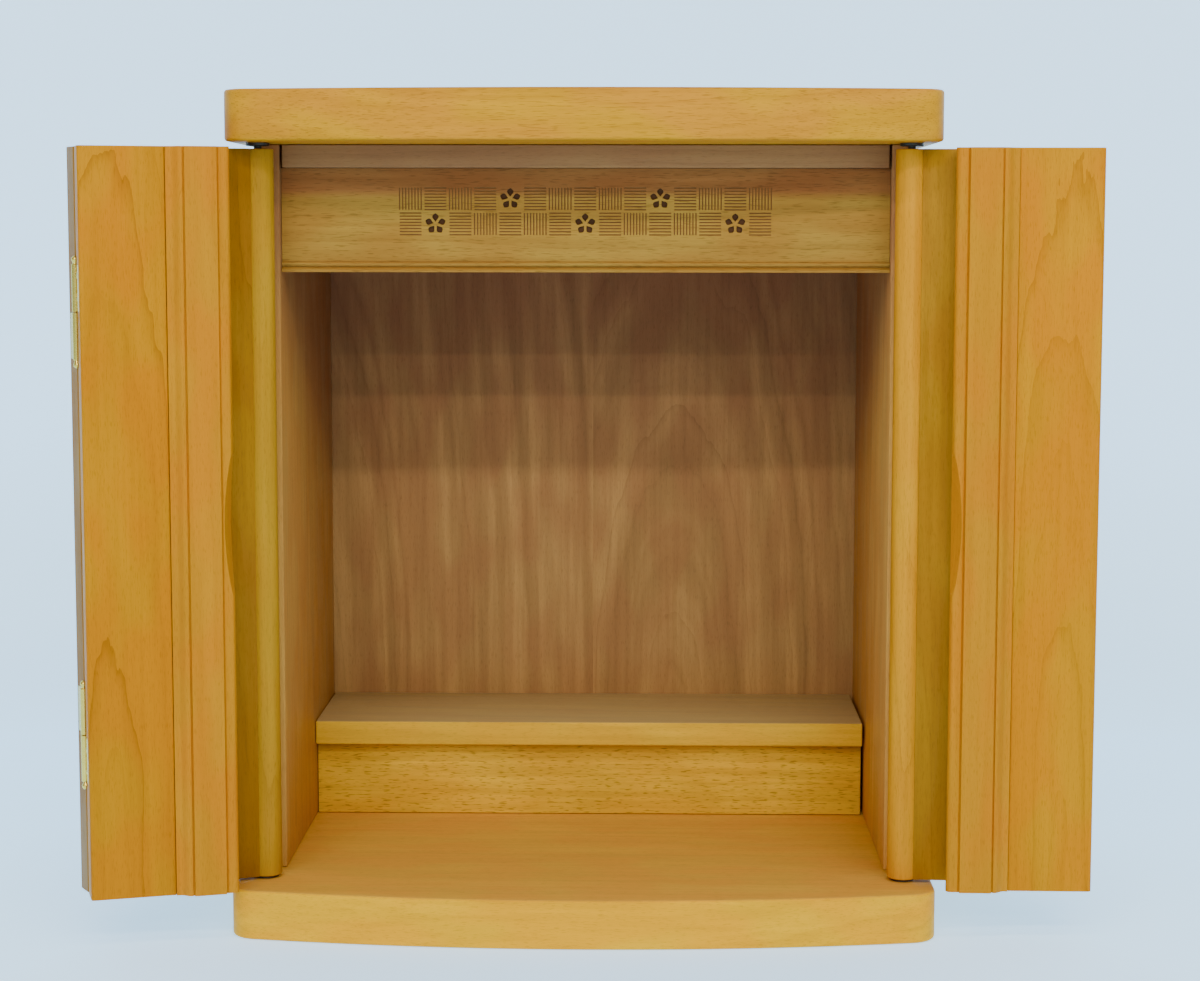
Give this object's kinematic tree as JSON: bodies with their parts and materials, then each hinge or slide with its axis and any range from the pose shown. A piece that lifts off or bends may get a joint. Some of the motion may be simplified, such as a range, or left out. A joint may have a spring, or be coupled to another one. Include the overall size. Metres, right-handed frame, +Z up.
{
  "type": "household altar cabinet",
  "caption": "Table-top wooden altar cabinet with a bow front, an open chamber with a loose step, an engraved fascia, and bi-fold doors on turned posts.",
  "frame": {"origin": "middle of the base board's underside, halfway across and halfway between its foremost point and its back edge", "axes": "+Z up, +X to the viewer's right when facing the open doors, +Y towards the back"},
  "size_m": [0.6477, 0.3643, 0.54],
  "materials": {
    "board_wood": "satin lacquer over straight grain",
    "door_veneer": "satin lacquer over golden veneer",
    "moulded_wood": "satin lacquer over moulded wood",
    "post_wood": "satin lacquer over straight grain",
    "chamber_wood": "satin lacquer",
    "fascia_wood": "satin lacquer with an engraved and darkened band",
    "back_veneer": "book-matched veneer, low sheen",
    "hinge_brass": "polished",
    "pivot_steel": "darkened"
  },
  "bodies": {
    "cabinet": {"base_board": "board_wood", "top_board": "board_wood", "left_side_panel": "chamber_wood", "right_side_panel": "chamber_wood", "head_rail": "chamber_wood", "step_shelf": "chamber_wood", "step_riser": "chamber_wood", "step_left_leg": "chamber_wood", "step_right_leg": "chamber_wood", "fascia": "fascia_wood", "back_panel": "back_veneer", "left_top_pivot": "pivot_steel", "left_bottom_pivot": "pivot_steel", "right_top_pivot": "pivot_steel", "right_bottom_pivot": "pivot_steel"},
    "left_outer_leaf": {"left_outer_panel": "door_veneer", "left_hinge_post": "post_wood", "left_upper_hinge_outer": "hinge_brass", "left_lower_hinge_outer": "hinge_brass"},
    "left_inner_leaf": {"left_inner_panel": "door_veneer", "left_meeting_stile": "moulded_wood", "left_upper_hinge_inner": "hinge_brass", "left_lower_hinge_inner": "hinge_brass"},
    "right_outer_leaf": {"right_outer_panel": "door_veneer", "right_hinge_post": "post_wood", "right_upper_hinge_outer": "hinge_brass", "right_lower_hinge_outer": "hinge_brass"},
    "right_inner_leaf": {"right_inner_panel": "door_veneer", "right_meeting_stile": "moulded_wood", "right_upper_hinge_inner": "hinge_brass", "right_lower_hinge_inner": "hinge_brass"}
  },
  "joints": [
    {"name": "left_swing", "type": "hinge", "parent": "cabinet", "child": "left_outer_leaf", "pos_m": [-0.2075, -0.118, 0.269], "axis": [0, 0, 1], "range_deg": [0, 145.8]},
    {"name": "left_fold", "type": "hinge", "parent": "left_outer_leaf", "child": "left_inner_leaf", "pos_m": [-0.31354, -0.17045, 0.269], "axis": [0, 0, -1], "range_deg": [0, 169.65]},
    {"name": "right_swing", "type": "hinge", "parent": "cabinet", "child": "right_outer_leaf", "pos_m": [0.2075, -0.118, 0.269], "axis": [0, 0, -1], "range_deg": [0, 164.7]},
    {"name": "right_fold", "type": "hinge", "parent": "right_outer_leaf", "child": "right_inner_leaf", "pos_m": [0.32482, -0.13328, 0.269], "axis": [0, 0, 1], "range_deg": [0, 172.35]}
  ],
  "couplings": [
    {"joint": "left_fold", "follows": "left_swing", "ratio": 1.1632},
    {"joint": "right_fold", "follows": "right_swing", "ratio": 1.0461}
  ]
}
